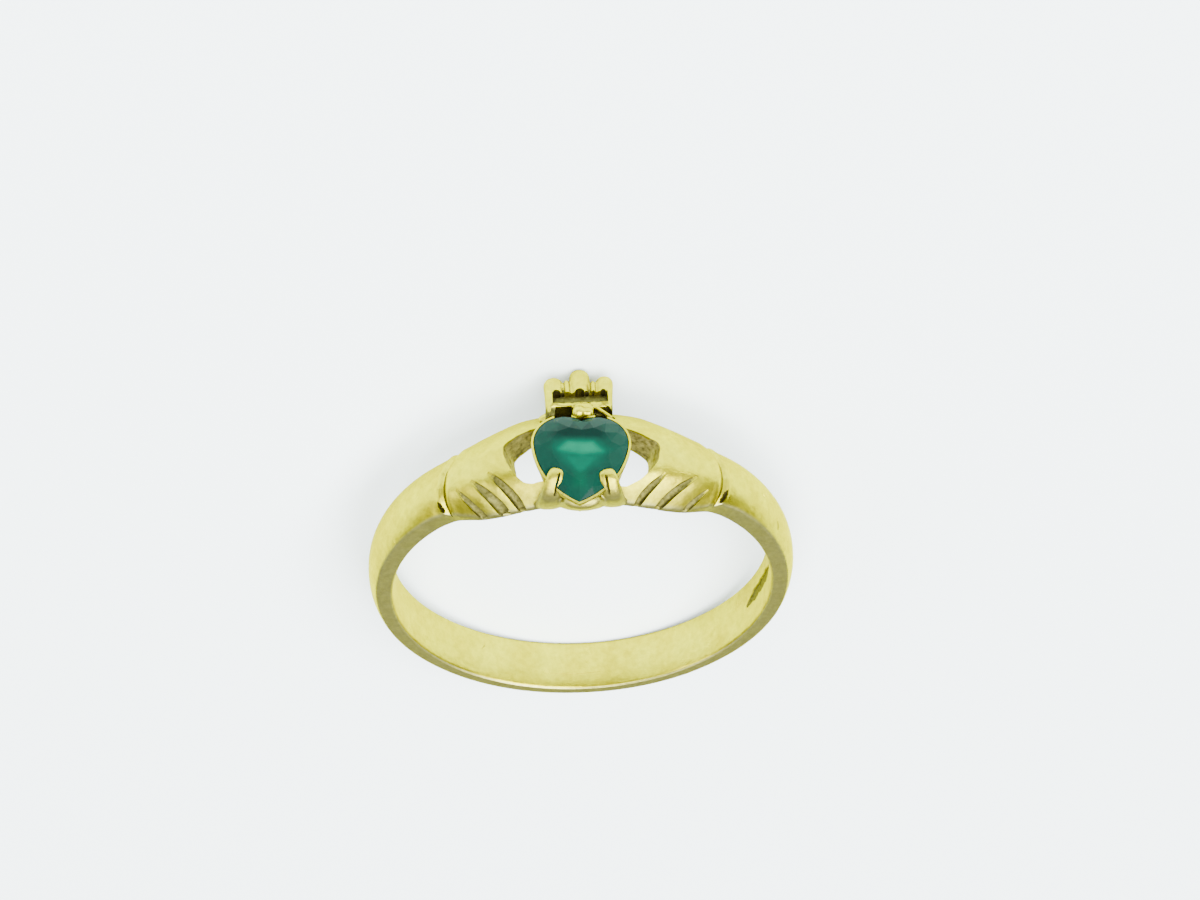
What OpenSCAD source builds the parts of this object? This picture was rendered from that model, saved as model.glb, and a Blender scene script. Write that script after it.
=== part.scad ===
// Claddagh ring: a gold band whose two cuffed hands hold a crowned, heart-shaped stone.
// Millimetres. The ring is drawn upright in its own frame, with X across the head, Y along the
// finger from the heart's tip towards the crown, and Z outwards through the head. It is then laid
// on its side, on the crown's tip and the back of the band, with the heart's tip side up.

/* [Band] */
// Inner diameter of the band
finger_d = 17; // [15:0.1:20]
// Width of the band at the back
band_w = 2.5; // [2.2:0.1:2.8]
// Thickness of the band's side faces, halfway round
band_edge_t = 0.75; // [0.6:0.01:1]
// How far the domed outside rises above the side faces' outer edges
band_dome = 0.32; // [0.15:0.01:0.4]
// How far the outside is shifted towards the head, so that the back is thinner
band_shift = 0.25; // [0:0.01:0.3]
// Width of the band where it meets the hands' cuffs
shoulder_w = 2.6; // [2.4:0.05:2.9]
// How far the band lies towards the heart's tip at the cuffs
shoulder_drop = 0.15; // [0:0.01:0.2]

/* [Hands] */
// Thickness of the hands above the finger
hand_t = 1.5; // [1.4:0.05:1.9]
// Half width of the hands where they meet the heart
hand_half_w = 2.15; // [1.95:0.05:2.5]
// How far the hands' backs fall from their middle to their edges
hand_dome = 0.7; // [0.4:0.02:0.8]
// Angle of each cuff from the middle of the head
cuff_angle = 37; // [34:0.5:42]
// Width of the line cut round each cuff
cuff_line_w = 0.18; // [0.1:0.02:0.3]
// Depth of the line cut round each cuff
cuff_line_d = 0.12; // [0.06:0.02:0.2]
// Radius of the lines between the fingers at their wide ends
finger_line_r = 0.2; // [0.12:0.01:0.24]

/* [Stone] */
// Width of the heart-shaped stone at its girdle
stone_w = 4.04; // [3.8:0.02:4.2]
// Length of the stone from its lobes to its tip
stone_l = 4.34; // [4.1:0.02:4.5]
// Radius of each lobe
lobe_r = 1.34; // [1.24:0.02:1.44]
// Radius of the curve from each lobe to the tip
flank_r = 3.6; // [3.2:0.1:4.4]
// Height of the girdle above the finger
girdle_h = 2.1; // [2:0.02:2.4]
// Height of the table above the girdle
crown_facet_h = 0.45; // [0.3:0.01:0.6]
// Depth of the point below the girdle
pavilion_h = 1.7; // [1.4:0.02:1.8]
// Thickness of the girdle
girdle_t = 0.1; // [0.06:0.01:0.14]

/* [Setting] */
// Thickness of the setting's wall round the girdle
wall_t = 0.16; // [0.12:0.01:0.22]
// Gap between the stone and its seat
seat_gap = 0.03; // [0.02:0.01:0.05]
// Radius of each claw at its foot
claw_foot_r = 0.42; // [0.36:0.01:0.5]
// Radius of each claw at its tip
claw_tip_r = 0.3; // [0.26:0.01:0.34]
// Radius of the small claw between the lobes
cleft_claw_r = 0.24; // [0.2:0.01:0.28]
// Radius of the light hole behind the stone
light_hole_r = 0.8; // [0.5:0.05:1]

/* [Crown] */
// Width of the crown across its outer points
crown_w = 3.05; // [2.8:0.05:3.4]
// How far the crown's middle point stands out along the finger
crown_reach = 3.9; // [3.6:0.05:4.3]
// Thickness of the crown from its back to the points' fronts
crown_t = 1.05; // [0.9:0.05:1.2]
// Height of the points' fronts above the finger
crown_h = 1.8; // [1.65:0.05:1.95]
// Width of the rim below the slot
rim_w = 0.3; // [0.2:0.02:0.4]
// Width of the slot below the points
slot_w = 0.26; // [0.16:0.02:0.34]
// Depth of the slot
slot_d = 0.45; // [0.2:0.05:0.5]

/* [Hidden] */
fine = 96;
bore_r = finger_d / 2;
through = 2 * finger_d;

// The band's outside, measured from its own centre
edge_r = bore_r + band_edge_t;
dome_r = edge_r + band_dome;
back_r = edge_r - band_shift;
shoulder_far = back_r + dome_r * cos(cuff_angle);
upper_taper = atan((shoulder_w / 2 - shoulder_drop - band_w / 2) / shoulder_far);
lower_taper = atan((shoulder_w / 2 + shoulder_drop - band_w / 2) / shoulder_far);
band_reach = shoulder_w / 2 + shoulder_drop + band_edge_t / 10;
// The hands' outside and their ends
hand_r = bore_r + hand_t;
cuff_x = hand_r * sin(cuff_angle);
// Material left inside the finger hole until it is cut
inner_r = bore_r - 1;
arc_steps = 5;
round_steps = 4;

// Half outline of the hands seen from outside, from the middle to the cuff. Columns: place across
// as a share of the cuff's, upper and lower edges as shares of hand_half_w.
HAND_EDGE = [
    [0.00, 1.00, -1.13], [0.12, 1.00, -1.08], [0.24, 1.00, -1.03], [0.34, 0.97, -0.98],
    [0.46, 0.88, -0.97], [0.58, 0.76, -0.98], [0.70, 0.66, -0.93], [0.80, 0.60, -0.84],
    [0.90, 0.56, -0.76], [1.00, 0.54, -0.72]
];
// The opening between a hand and the heart. Columns: places as shares of cuff_x and hand_half_w.
OPENING = [
    [0.17, -0.74], [0.17, 0.50], [0.30, 0.58], [0.38, 0.50], [0.48, 0.36],
    [0.57, 0.15], [0.55, -0.10], [0.52, -0.30], [0.44, -0.56], [0.34, -0.75]
];
// The lines between the fingers. Columns: the thin end's angle as a share of the cuff's, its place
// as a share of hand_half_w, and the wide end's angle as a share. They end below the hands' edge.
FINGER_LINES = [[0.90, -0.52, 0.68], [0.79, -0.40, 0.53], [0.62, -0.46, 0.38]];
LINE_END = -1.04;
line_thin = 0.3;

// The stone's middle along the finger, and its levels
stone_y = -1.24;
girdle_z = bore_r + girdle_h;
table_z = girdle_z + crown_facet_h;
culet_z = girdle_z - pavilion_h;
// The heart's lobes and tip, from the stone's middle
lobe_x = stone_w / 2 - lobe_r;
lobe_y = stone_l / 2 - lobe_r;
tip_y = -stone_l / 2;
// Corners of half the girdle: along the lobe, and from the lobe to the tip
lobe_steps = 6;
flank_steps = 4;
// The table's size as a share of the girdle's, and the middle that it shrinks towards
table_share = 0.58;
table_y = -0.1;
// The setting shrinks towards its foot, and towards the lobes' end, to this share of its outline
foot_share = 0.62;
setting_top = girdle_z + girdle_t / 2;

// The claws' feet and tips. The lower two are mirrored. Places as shares of half the stone.
CLAW_FOOT = [0.74, -0.50];
CLAW_TIP = [0.60, -0.34];
claw_foot_z = bore_r + 0.4 * girdle_h;
claw_tip_z = table_z - claw_tip_r / 2;
CLEFT_CLAW_TIP = 0.84;

// The crown's points. Columns: place across as a share of half the crown's width, length as a
// share of the middle point's, radius as a share of half the crown's width.
POINTS = [[0, 1, 0.29], [0.39, 0.62, 0.11], [-0.39, 0.62, 0.11], [0.75, 0.80, 0.25], [-0.75, 0.80, 0.25]];
rim_y = 1.65;
slot_y = rim_y + rim_w;
point_y = slot_y + slot_w;
crown_z = bore_r + crown_h;
crown_back = crown_z - crown_t;
plate_w = 0.9 * crown_w;
plate_t = 0.75 * crown_t;
plate_l = 0.5 * (crown_reach - point_y);
web_share = 0.8;

// Laid down, the ring touches the floor with the crown's middle point and the back of the band
point_r = POINTS[0][2] * crown_w / 2;
to_point = [crown_reach - point_r - band_w / 2, crown_z - point_r + back_r];
lean = acos(-point_r / norm(to_point)) - atan2(to_point[1], to_point[0]);
rest_h = back_r * sin(lean) + band_w / 2 * cos(lean);
centre_y = (table_z + band_shift - dome_r) / 2 * cos(lean);

// Points of a domed outside: its middle radius, and its fall at a given half width, over a reach
function dome_at(mid, half, fall, y) =
    let (r = (half * half + fall * fall) / (2 * fall)) mid - r + sqrt(r * r - y * y);
function dome_arc(mid, half, fall, reach) =
    [for (i = [-arc_steps:arc_steps]) [dome_at(mid, half, fall, reach * i / arc_steps), reach * i / arc_steps]];

// A corner where two circles meet, on the left of the line from a to b
function meet(a, ra, b, rb) =
    let (d = norm(b - a), along = (ra * ra - rb * rb + d * d) / (2 * d),
         off = sqrt(ra * ra - along * along), u = (b - a) / d)
    a + along * u + off * [-u[1], u[0]];

// Half the heart's outline grown by g, from the cleft round the lobe to the tip
function half_heart(g) =
    let (lobe = [lobe_x, lobe_y], tip = [0, tip_y], r = lobe_r + g, rf = flank_r + g,
         centre = meet(tip, flank_r, lobe, flank_r - lobe_r),
         join = atan2(lobe[1] - centre[1], lobe[0] - centre[0]),
         start = 180 - acos(lobe_x / r),
         finish = -acos(-centre[0] / rf))
    concat(
        [for (i = [0:lobe_steps]) lobe + r * [cos(start + (join - start) * i / lobe_steps),
                                              sin(start + (join - start) * i / lobe_steps)]],
        [for (i = [1:flank_steps]) centre + rf * [cos(join + (finish - join) * i / flank_steps),
                                                  sin(join + (finish - join) * i / flank_steps)]]);

// The whole outline, from the cleft round the left lobe, the tip and the right lobe
function heart(g) =
    let (half = half_heart(g), last = len(half) - 1)
    concat([[0, half[0][1]]], [for (i = [1:last - 1]) [-half[i][0], half[i][1]]],
           [[0, half[last][1]]], [for (i = [last - 1:-1:1]) half[i]]);

// The two convex halves of a heart-shaped face, whose n corners start at the given one
function halves(first, n) =
    [[for (i = [0:n / 2]) first + i], concat([for (i = [n / 2:n - 1]) first + i], [first])];
function turned(faces) = [for (f = faces) [for (i = [len(f) - 1:-1:0]) f[i]]];

// A solid of revolution round the finger's axis, domed outside
module barrel(mid, half, fall, reach, shift, inside) {
    translate([0, 0, shift])
        rotate([90, 0, 0])
            rotate_extrude($fn = fine)
                polygon(concat([[inside, -reach]], dome_arc(mid, half, fall, reach), [[inside, reach]]));
}

// A tapered rod between two points, whose second end is rounded
module rod(from, to, r_from, r_to) {
    d = to - from;
    translate(from)
        rotate([0, acos(d[2] / norm(d)), atan2(d[1], d[0])])
            rotate_extrude($fn = fine)
                polygon(concat([[0, 0], [r_from, 0]],
                               [for (i = [0:round_steps - 1]) [r_to * cos(90 * i / round_steps),
                                                               norm(d) + r_to * sin(90 * i / round_steps)]],
                               [[0, norm(d) + r_to]]));
}

// Cuts one side of the band to its width at the back, sloping by the given angle towards the head
module side_cut(slope) {
    translate([0, band_w / 2, -back_r])
        rotate([-slope, 0, 0])
            translate([-through / 2, 0, -through])
                cube([through, through, 3 * through]);
}

module band() {
    difference() {
        barrel(dome_r, band_w / 2, band_dome, band_reach, band_shift, inner_r);
        side_cut(upper_taper);
        mirror([0, 1, 0]) side_cut(lower_taper);
    }
}

module hands() {
    right = [for (p = HAND_EDGE) [p[0] * cuff_x, p[1] * hand_half_w]];
    right_low = [for (p = HAND_EDGE) [p[0] * cuff_x, p[2] * hand_half_w]];
    last = len(HAND_EDGE) - 1;
    wedge = through * [sin(cuff_angle), cos(cuff_angle)];
    intersection() {
        linear_extrude(height = through)
            polygon(concat(right_low, [for (i = [last:-1:0]) right[i]],
                           [for (i = [1:last]) [-right[i][0], right[i][1]]],
                           [for (i = [last:-1:1]) [-right_low[i][0], right_low[i][1]]]));
        barrel(hand_r, hand_half_w, hand_dome, 1.2 * hand_half_w, 0, inner_r);
        rotate([90, 0, 0])
            linear_extrude(height = through, center = true)
                polygon([[0, 0], wedge, [-wedge[0], wedge[1]]]);
    }
}

module cuff_lines() {
    difference() {
        for (side = [0, 1])
            mirror([side, 0, 0])
                rotate([0, cuff_angle, 0])
                    translate([-cuff_line_w / 2, -through / 2, 0])
                        cube([cuff_line_w, through, through]);
        barrel(dome_r - cuff_line_d, band_w / 2, band_dome, hand_half_w, band_shift, 0);
    }
}

module openings() {
    for (side = [0, 1])
        mirror([side, 0, 0])
            linear_extrude(height = through)
                polygon([for (p = OPENING) [p[0] * cuff_x, p[1] * hand_half_w]]);
}

// A place on the hands' backs, from an angle and a place along the finger
function on_hand(a, y) =
    let (r = dome_at(hand_r, hand_half_w, hand_dome, y)) [r * sin(a), y, r * cos(a)];

module finger_lines() {
    for (side = [0, 1], l = FINGER_LINES)
        mirror([side, 0, 0])
            rod(on_hand(l[0] * cuff_angle, l[1] * hand_half_w),
                on_hand(l[2] * cuff_angle, LINE_END * hand_half_w),
                line_thin * finger_line_r, finger_line_r);
}

module setting() {
    top = [for (p = heart(seat_gap + wall_t)) [p[0], p[1] + stone_y]];
    foot_y = stone_y + (1 - foot_share) * stone_l / 2;
    foot = [for (p = heart(seat_gap + wall_t)) [foot_share * p[0], foot_share * p[1] + foot_y]];
    n = len(top);
    foot_z = inner_r;
    polyhedron(
        points = concat([for (p = foot) [p[0], p[1], foot_z]], [for (p = top) [p[0], p[1], setting_top]]),
        faces = concat(halves(0, n), turned(halves(n, n)),
                       [for (i = [0:n - 1]) [i, n + i, n + (i + 1) % n, (i + 1) % n]]));
}

module claws() {
    foot = [CLAW_FOOT[0] * stone_w / 2, stone_y + CLAW_FOOT[1] * stone_l / 2, claw_foot_z];
    tip = [CLAW_TIP[0] * stone_w / 2, stone_y + CLAW_TIP[1] * stone_l / 2, claw_tip_z];
    for (side = [0, 1])
        mirror([side, 0, 0])
            rod(foot, tip, claw_foot_r, claw_tip_r);
    rod([0, rim_y + rim_w / 2, crown_z - cleft_claw_r],
        [0, stone_y + CLEFT_CLAW_TIP * stone_l / 2, setting_top + cleft_claw_r / 2],
        cleft_claw_r, cleft_claw_r);
}

// A half-round point with a rounded end, and a narrower web behind it
module point(x, l, r) {
    axis_z = crown_z - r;
    web_l = slot_w + l - r / 2;
    rod([x, slot_y, axis_z], [x, point_y + l - r, axis_z], r, r);
    translate([x - web_share * r, slot_y, crown_back]) cube([2 * web_share * r, web_l, axis_z - crown_back]);
}

module crown() {
    difference() {
        union() {
            translate([-plate_w / 2, rim_y, crown_back])
                cube([plate_w, point_y - rim_y + plate_l, plate_t]);
            translate([-plate_w / 2, rim_y, crown_back]) cube([plate_w, rim_w, crown_t - rim_w / 4]);
            for (p = POINTS)
                point(p[0] * crown_w / 2, p[1] * (crown_reach - point_y), p[2] * crown_w / 2);
        }
        translate([-through / 2, slot_y, crown_z - slot_d]) cube([through, slot_w, through]);
    }
}

// The cut stone, grown by g for its seat: facets from the table to every corner of the girdle,
// a thin girdle, and facets from the girdle to the point
module cut_stone(g) {
    rim = heart(g);
    n = len(rim);
    half = n / 2;
    plain = heart(0);
    middle = [0, table_y];
    table = [for (i = [0:half - 1]) middle + table_share * (plain[2 * i] - middle)];
    up = girdle_z + girdle_t / 2 + g;
    down = girdle_z - girdle_t / 2 - g;
    tip = half + 2 * n;
    translate([0, stone_y, 0])
        polyhedron(
            points = concat([for (p = table) [p[0], p[1], table_z + g]],
                            [for (p = rim) [p[0], p[1], up]],
                            [for (p = rim) [p[0], p[1], down]],
                            [[0, table_y, culet_z - g]]),
            faces = concat(
                turned(halves(0, half)),
                [for (i = [0:half - 1]) [i, half + 2 * i + 1, half + 2 * i]],
                [for (i = [0:half - 1]) [i, (i + 1) % half, half + 2 * i + 1]],
                [for (i = [0:half - 1]) [(i + 1) % half, half + (2 * i + 2) % n, half + 2 * i + 1]],
                [for (i = [0:n - 1]) [half + i, half + (i + 1) % n, half + n + (i + 1) % n, half + n + i]],
                [for (i = [0:n - 1]) [half + n + i, half + n + (i + 1) % n, tip]]));
}

// Lays the upright ring on its side, leaning on the crown
module laid_down() {
    translate([0, centre_y, rest_h])
        rotate([-lean, 0, 0])
            rotate([0, 180, 0])
                rotate([90, 0, 0])
                    children();
}

module ring_body() {
    color([0.86, 0.80, 0.52])
        laid_down()
            difference() {
                union() {
                    difference() {
                        union() {
                            band();
                            hands();
                        }
                        openings();
                        finger_lines();
                        cuff_lines();
                    }
                    setting();
                    crown();
                    claws();
                }
                cut_stone(seat_gap);
                rotate([90, 0, 0]) cylinder(h = through, r = bore_r, center = true, $fn = fine);
                cylinder(h = girdle_z, r = light_hole_r, $fn = fine);
            }
}

module heart_stone() {
    color([0.05, 0.42, 0.34])
        laid_down()
            cut_stone(0);
}

ring_body();
heart_stone();
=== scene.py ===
"""A claddagh ring of pale gold with a heart-shaped green stone, lying on its side.

The ring is modelled upright in millimetres, with X across the head, Y along the finger from the
heart's tip towards the crown, and Z outwards through the head. An angle is measured round the
finger from the middle of the head. The meshes are then laid down in the frame, in metres.
"""
import math

import bmesh
import bpy
import numpy as np
from mathutils import Matrix, Vector


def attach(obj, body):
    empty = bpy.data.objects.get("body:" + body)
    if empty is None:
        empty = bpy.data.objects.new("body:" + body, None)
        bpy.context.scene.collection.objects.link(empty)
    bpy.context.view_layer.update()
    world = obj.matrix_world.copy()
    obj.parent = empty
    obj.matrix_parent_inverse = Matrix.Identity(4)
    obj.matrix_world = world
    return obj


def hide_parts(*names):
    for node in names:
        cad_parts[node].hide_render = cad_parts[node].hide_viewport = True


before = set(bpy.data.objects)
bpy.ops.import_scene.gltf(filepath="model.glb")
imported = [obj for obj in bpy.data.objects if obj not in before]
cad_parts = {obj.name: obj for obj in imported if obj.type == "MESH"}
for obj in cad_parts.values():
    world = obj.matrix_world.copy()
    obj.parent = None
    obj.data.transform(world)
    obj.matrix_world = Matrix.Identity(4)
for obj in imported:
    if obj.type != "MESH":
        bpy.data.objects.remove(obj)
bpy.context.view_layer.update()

# The source's sizes, in millimetres
BORE_R = 8.5
BAND_W = 2.5
BAND_EDGE_T = 0.75
BAND_DOME = 0.32
BAND_SHIFT = 0.25
CROWN_W = 3.05
CROWN_T = 1.05
CROWN_H = 1.8
CROWN_REACH = 3.9
GIRDLE_H = 2.1
GIRDLE_T = 0.1
TABLE_H = 0.45
PAVILION_H = 1.7
SEAT_GAP = 0.03

# Radii and heights measured from the finger's axis. HEAD_R turns the head's angles into lengths.
HEAD_R = 10
EDGE_R = BORE_R + BAND_EDGE_T
DOME_R = EDGE_R + BAND_DOME
BACK_R = EDGE_R - BAND_SHIFT
CROWN_Z = BORE_R + CROWN_H
CROWN_BACK_Z = CROWN_Z - CROWN_T
GIRDLE_Z = BORE_R + GIRDLE_H
TABLE_Z = GIRDLE_Z + TABLE_H
CULET_Z = GIRDLE_Z - PAVILION_H

# The stone's outline, which leans a little towards one hand, and the thin wall of the setting round it
STONE_W = 4.05
STONE_L = 4.34
LOBE_R = 1.34
FLANK_R = 3.6
STONE_X = -0.1
STONE_Y = -1.22
STONE_LEAN = math.radians(3.8)
WALL_T = 0.1
# The place on the stone's middle line that its facets gather round
STONE_MIDDLE = -0.1
# The facets as shares of the outline: the table, the corners between table and girdle, and the waist of
# the pavilion. The last two have their height above and below the girdle.
TABLE_SHARE = 0.64
MIDDLE_SHARE = 0.85
MIDDLE_H = 0.25
WAIST_SHARE = 0.50
WAIST_DEPTH = 0.93
# The longest edge that the stone's mesh keeps, so that its painted colours and painted light are smooth
STONE_EDGE = 0.11

# How the ring lies: on the crown's middle point and the back of the band
POINT_R = 0.29 * CROWN_W / 2
TO_POINT = (CROWN_REACH - POINT_R - BAND_W / 2, CROWN_Z - POINT_R + BACK_R)
LEAN = math.acos(-POINT_R / math.hypot(*TO_POINT)) - math.atan2(TO_POINT[1], TO_POINT[0])
REST_H = BACK_R * math.sin(LEAN) + BAND_W / 2 * math.cos(LEAN)
CENTRE_Y = (TABLE_Z + BAND_SHIFT - DOME_R) / 2 * math.cos(LEAN)
LAID_DOWN = (
    Matrix.Scale(0.001, 4)
    @ Matrix.Translation((0, CENTRE_Y, REST_H))
    @ Matrix.Rotation(-LEAN, 4, "X")
    @ Matrix(((-1, 0, 0, 0), (0, 0, -1, 0), (0, -1, 0, 0), (0, 0, 0, 1)))
)

# Body of the ring: angle, places of the two edges along the finger, radii of the two corners and the crest
BODY = [
    (0, -2.26, 2.10, 8.80, 9.20, 9.86),
    (8, -2.20, 2.12, 8.80, 9.22, 9.92),
    (16, -2.24, 2.02, 8.80, 9.26, 9.98),
    (24, -2.24, 1.68, 8.82, 9.30, 10.02),
    (30, -2.10, 1.46, 8.86, 9.32, 10.00),
    (36.4, -1.72, 1.24, 9.02, 9.34, 9.93),
    (39.4, -1.54, 1.16, 9.30, 9.38, 9.86),
    (46, -1.41, 1.15, 9.38, 9.40, 9.81),
    (60, -1.33, 1.17, 9.34, 9.34, 9.70),
    (90, -1.27, 1.21, 9.24, 9.24, 9.56),
    (135, -1.25, 1.24, 9.07, 9.07, 9.38),
    (180, -1.24, 1.25, 9.00, 9.00, 9.31),
]
LOWER_EDGE, UPPER_EDGE, LOWER_CORNER, UPPER_CORNER, CREST = range(1, 6)
# The line of each cuff: angle, place along the finger, radius
CUFF_LINES = [
    [(-34.4, 1.3, 9.4), (-35.2, 0.9, 9.80), (-35.9, 0.46, 9.93), (-37.0, 0.03, 9.95), (-37.6, -0.45, 9.9),
     (-38.1, -0.85, 9.78), (-38.5, -1.2, 9.56), (-38.7, -1.5, 9.3), (-38.8, -1.62, 8.95)],
    [(35.4, 1.3, 9.4), (36.4, 0.9, 9.78), (37.3, 0.5, 9.9), (38.2, 0.1, 9.93), (38.7, -0.4, 9.9),
     (38.9, -0.85, 9.78), (38.9, -1.2, 9.58), (38.6, -1.5, 9.33), (38.4, -1.66, 8.95)],
]
# The dip along each cuff's line and its two lips: height, how far out from the line, breadth
CUFF_WAVES = [(-0.14, 0.02, 0.13), (0.07, 0.26, 0.15), (0.03, -0.30, 0.18)]
# The deep nick at the lower end of each cuff's line: angle, place along the finger, radius
CUFF_NICKS = [
    [(-40.5, -0.98, 9.74), (-40.2, -1.26, 9.58), (-39.8, -1.52, 9.36)],
    [(40.6, -0.92, 9.80), (40.2, -1.24, 9.62), (39.4, -1.56, 9.36)],
]
# The grooves between the fingers: angle, place along the finger, radius, half width, depth
GROOVES = [
    [(-34.0, -0.92, 9.90, 0.05, 0.03), (-32.5, -1.31, 9.80, 0.15, 0.12),
     (-30.9, -1.72, 9.60, 0.18, 0.17), (-29.4, -2.05, 9.32, 0.21, 0.22),
     (-29.0, -2.24, 8.95, 0.18, 0.16), (-29.0, -2.27, 8.4, 0.12, 0.09)],
    [(-29.2, -0.80, 9.96, 0.05, 0.03), (-27.3, -1.22, 9.87, 0.17, 0.13),
     (-25.2, -1.64, 9.67, 0.23, 0.19), (-23.3, -2.04, 9.36, 0.29, 0.26),
     (-22.4, -2.30, 8.95, 0.24, 0.18), (-22.3, -2.34, 8.4, 0.14, 0.09)],
    [(-24.3, -0.68, 10.00, 0.05, 0.03), (-22.4, -1.10, 9.93, 0.16, 0.13),
     (-20.4, -1.50, 9.75, 0.20, 0.18), (-18.5, -1.92, 9.45, 0.23, 0.24),
     (-17.5, -2.24, 8.98, 0.19, 0.18), (-17.3, -2.30, 8.4, 0.12, 0.09)],
    [(34.5, -1.24, 9.82, 0.05, 0.03), (33.0, -1.52, 9.73, 0.12, 0.11),
     (31.6, -1.76, 9.57, 0.15, 0.15), (30.3, -2.0, 9.32, 0.19, 0.20),
     (29.8, -2.16, 8.95, 0.16, 0.15), (30.0, -2.2, 8.4, 0.12, 0.09)],
    [(30.4, -0.92, 9.94, 0.05, 0.03), (27.9, -1.27, 9.86, 0.14, 0.12),
     (25.4, -1.62, 9.69, 0.18, 0.17), (23.0, -1.98, 9.40, 0.21, 0.23),
     (21.4, -2.26, 9.0, 0.18, 0.18), (21.0, -2.32, 8.4, 0.12, 0.09)],
    [(21.6, -1.08, 9.96, 0.05, 0.03), (19.6, -1.44, 9.83, 0.14, 0.12),
     (17.8, -1.72, 9.64, 0.18, 0.18), (16.2, -2.0, 9.36, 0.19, 0.23),
     (15.2, -2.24, 8.98, 0.16, 0.18), (15.0, -2.3, 8.4, 0.12, 0.09)],
]
# How far a groove has turned from the back of the hand to its side face at each of its points
GROOVE_TURN = [0, 0, 0.2, 0.5, 0.9, 1]
# The openings between each hand and the heart: angle, place along the finger
OPENINGS = [
    [(-19.9, 0.43), (-18.9, 0.64), (-16.3, 0.90), (-14.2, 1.05), (-12.6, 1.22), (-8.5, 1.22), (-5.0, 0.9),
     (-5.0, -1.3), (-8.0, -1.42), (-11.9, -1.52), (-13.4, -1.55), (-15.5, -1.42), (-17.2, -1.10),
     (-18.8, -0.60), (-19.7, -0.05)],
    [(19.9, 0.16), (19.3, 0.36), (18.0, 0.48), (16.1, 0.65), (12.3, 0.95), (8.9, 1.24), (5.0, 1.0),
     (5.0, -1.5), (8.0, -1.66), (11.0, -1.78), (12.5, -1.70), (15.4, -1.44), (17.4, -1.08),
     (19.2, -0.62), (19.8, -0.2)],
]

# A rod's table has the columns x, place along the finger, height, half width and half thickness.
# The large claws from foot to tip
CLAWS = [
    [(-1.52, -2.20, 8.7, 0.58, 0.24), (-1.50, -2.46, 9.3, 0.56, 0.26), (-1.45, -2.62, 9.9, 0.50, 0.27),
     (-1.36, -2.60, 10.4, 0.44, 0.25), (-1.26, -2.36, 10.81, 0.39, 0.20), (-1.17, -2.12, 10.93, 0.36, 0.17),
     (-1.13, -2.01, 10.93, 0.33, 0.16)],
    [(1.26, -2.20, 8.7, 0.56, 0.24), (1.25, -2.48, 9.3, 0.53, 0.26), (1.21, -2.68, 9.9, 0.48, 0.27),
     (1.14, -2.68, 10.4, 0.45, 0.25), (1.05, -2.48, 10.81, 0.41, 0.20), (0.99, -2.26, 10.93, 0.38, 0.17),
     (0.96, -2.15, 10.93, 0.35, 0.16)],
]
# The slit along the top of each large claw, from its tip
CLAW_SLITS = [
    [(-1.07, -2.30, 11.04, 0.045, 0.16), (-1.13, -2.49, 10.97, 0.055, 0.16),
     (-1.23, -2.73, 10.73, 0.045, 0.16), (-1.29, -2.89, 10.42, 0.02, 0.16)],
    [(0.94, -2.48, 11.00, 0.055, 0.16), (0.97, -2.63, 10.93, 0.065, 0.16),
     (1.02, -2.83, 10.73, 0.05, 0.16), (1.06, -2.94, 10.54, 0.02, 0.16)],
]
# The small claw between the lobes, the bar that backs its two beads, and the foot below the heart's tip
SMALL_CLAW = [(0.1, 1.9, 9.85, 0.24, 0.2), (0.02, 1.6, 10.2, 0.24, 0.22), (-0.03, 1.3, 10.55, 0.26, 0.26)]
BEAD_BAR = [(-0.1, 1.55, 10.40, 0.3, 0.22), (0.4, 1.55, 10.38, 0.28, 0.20)]
FOOT = [(-0.05, -2.10, 8.5, 1.15, 0.24), (-0.06, -2.36, 9.0, 1.15, 0.34), (-0.08, -2.74, 9.6, 1.08, 0.40),
        (-0.1, -3.08, 10.22, 0.82, 0.38)]
# The small claw's two beads: x, place along the finger, height, radius
BEADS = [(-0.07, 1.22, 10.60, 0.30), (0.33, 1.22, 10.56, 0.24)]

# The crown's flutes: x at the foot, x at the tip, the tip's place along the finger, half width, thickness
FLUTES = [
    (-1.06, -1.10, 3.50, 0.44, 0.38),
    (0.05, 0.05, 3.90, 0.45, 0.40),
    (1.06, 1.12, 3.49, 0.39, 0.36),
    (-0.50, -0.52, 3.28, 0.13, 0.20),
    (0.60, 0.62, 3.18, 0.12, 0.18),
]
FLUTE_FOOT_Y = 2.1
# The crown's blocks: x from and to, place along the finger from and to, how far the back lies above the
# crown's back, and how far the front lies below the crown's front
CROWN_BLOCKS = [
    (-1.36, 1.30, 1.50, 3.08, 0.05, 0.36),
    (-0.95, 1.00, 2.80, 3.18, 0.10, 0.28),
    (-0.28, 0.38, 2.80, 3.50, 0.10, 0.34),
    (-1.30, 1.25, 1.86, 2.40, 0.10, 0.20),
    (-1.30, 1.25, 1.50, 1.90, 0.10, 0.45),
]
# The rounded edges of the crown's sides: their places across, and a rod's table without x and with the
# depth below the crown's front in the height's place
CROWN_SIDE_X = (-1.34, 1.28)
CROWN_SIDE = [(1.66, 0.38, 0.15, 0.30), (2.3, 0.36, 0.16, 0.32), (2.8, 0.38, 0.17, 0.34)]
# The rail along the crown's foot, with the same depth in the height's place
CROWN_RAIL = [(-1.28, 1.93, 0.18, 0.12, 0.11), (-0.5, 1.90, 0.17, 0.12, 0.11), (0.4, 1.90, 0.17, 0.12, 0.11),
              (1.3, 1.84, 0.19, 0.12, 0.11)]
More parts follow.
